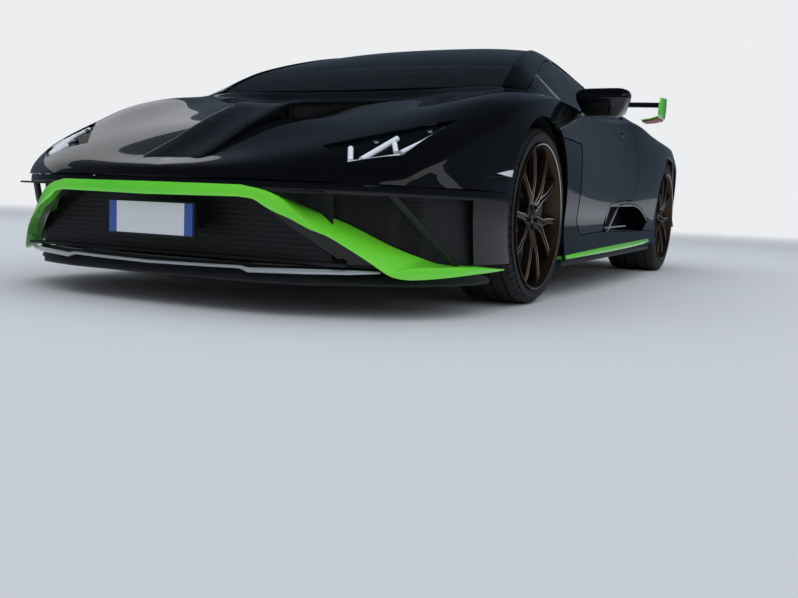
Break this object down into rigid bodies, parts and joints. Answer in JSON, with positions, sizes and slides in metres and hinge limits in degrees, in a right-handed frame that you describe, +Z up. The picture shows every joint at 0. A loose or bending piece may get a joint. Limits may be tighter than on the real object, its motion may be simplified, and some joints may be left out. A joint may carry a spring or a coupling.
{
  "type": "mid-engined supercar",
  "caption": "Low two-seat mid-engined supercar in gloss black with a green nose blade, tilting front clamshell, side doors, louvred engine lid, steered front wheels and a rear wing.",
  "frame": {"origin": "on the ground under the middle of the car", "axes": "+Y towards the tail, +X to the car's left, +Z up"},
  "size_m": [2.224, 4.547, 1.1999],
  "materials": {
    "paint_black": "gloss",
    "accent_green": "gloss",
    "black_plastic": "matt",
    "glass_dark": "clear",
    "lamp_clear": "clear",
    "lamp_red": "gloss",
    "aluminium_raw": "satin",
    "steel_dark": "satin",
    "rim_bronze": "satin",
    "tyre_rubber": "matt",
    "seat_fabric": "suede"
  },
  "bodies": {
    "chassis": {"front_blade": "accent_green", "front_bumper": "black_plastic", "splitter": "black_plastic", "roof": "paint_black", "windscreen": "glass_dark", "rear_bumper": "paint_black", "tail_lamps": "lamp_red", "rear_wing": "paint_black", "tub": "steel_dark", "front_frame": "aluminium_raw", "rear_frame": "aluminium_raw", "luggage_tub": "black_plastic", "engine": "aluminium_raw", "exhaust_pipes": "aluminium_raw", "underfloor": "black_plastic", "dashboard": "black_plastic", "steering_wheel": "seat_fabric", "front_suspension": "steel_dark", "rear_suspension": "steel_dark", "side_skirt_left": "black_plastic", "side_skirt_right": "black_plastic", "rear_quarter_left": "paint_black", "rear_quarter_right": "paint_black", "seat_left": "seat_fabric", "seat_right": "seat_fabric"},
    "clamshell_body": {"clamshell": "paint_black", "headlamps": "lamp_clear"},
    "engine_lid": {"engine_cover": "paint_black"},
    "door_body_left": {"door_left": "paint_black", "door_glass_left": "glass_dark", "mirror_left": "paint_black"},
    "steer_left": {"knuckle_front_left": "aluminium_raw"},
    "wheel_front_left": {"tyre_front_left": "tyre_rubber", "rim_front_left": "rim_bronze"},
    "wheel_rear_left": {"tyre_rear_left": "tyre_rubber", "rim_rear_left": "rim_bronze"},
    "door_body_right": {"door_right": "paint_black", "door_glass_right": "glass_dark", "mirror_right": "paint_black"},
    "steer_right": {"knuckle_front_right": "aluminium_raw"},
    "wheel_front_right": {"tyre_front_right": "tyre_rubber", "rim_front_right": "rim_bronze"},
    "wheel_rear_right": {"tyre_rear_right": "tyre_rubber", "rim_rear_right": "rim_bronze"}
  },
  "joints": [
    {"name": "clamshell_hinge", "type": "hinge", "parent": "chassis", "child": "clamshell_body", "pos_m": [0, -2.2675, 0.409], "axis": [1, 0, 0], "range_deg": [0, 40]},
    {"name": "engine_lid_hinge", "type": "hinge", "parent": "chassis", "child": "engine_lid", "pos_m": [0, 0.698, 1.131], "axis": [1, 0, 0], "range_deg": [0, 45]},
    {"name": "door_hinge_left", "type": "hinge", "parent": "chassis", "child": "door_body_left", "pos_m": [0.95, -0.645, 0.5], "axis": [0, 0, -1], "range_deg": [0, 60]},
    {"name": "steering_left", "type": "hinge", "parent": "chassis", "child": "steer_left", "pos_m": [0.79, -1.2135, 0.3275], "axis": [0, 0, 1], "range_deg": [-30, 30]},
    {"name": "spin_front_left", "type": "hinge", "parent": "steer_left", "child": "wheel_front_left", "pos_m": [0.828, -1.2135, 0.3275], "axis": [1, 0, 0], "continuous": true},
    {"name": "spin_rear_left", "type": "hinge", "parent": "chassis", "child": "wheel_rear_left", "pos_m": [0.8, 1.4065, 0.3455], "axis": [1, 0, 0], "continuous": true},
    {"name": "door_hinge_right", "type": "hinge", "parent": "chassis", "child": "door_body_right", "pos_m": [-0.95, -0.645, 0.5], "axis": [0, 0, 1], "range_deg": [0, 60]},
    {"name": "steering_right", "type": "hinge", "parent": "chassis", "child": "steer_right", "pos_m": [-0.79, -1.2135, 0.3275], "axis": [0, 0, 1], "range_deg": [-30, 30]},
    {"name": "spin_front_right", "type": "hinge", "parent": "steer_right", "child": "wheel_front_right", "pos_m": [-0.828, -1.2135, 0.3275], "axis": [1, 0, 0], "continuous": true},
    {"name": "spin_rear_right", "type": "hinge", "parent": "chassis", "child": "wheel_rear_right", "pos_m": [-0.8, 1.4065, 0.3455], "axis": [1, 0, 0], "continuous": true}
  ],
  "couplings": [
    {"joint": "steering_right", "follows": "steering_left", "ratio": 1}
  ]
}
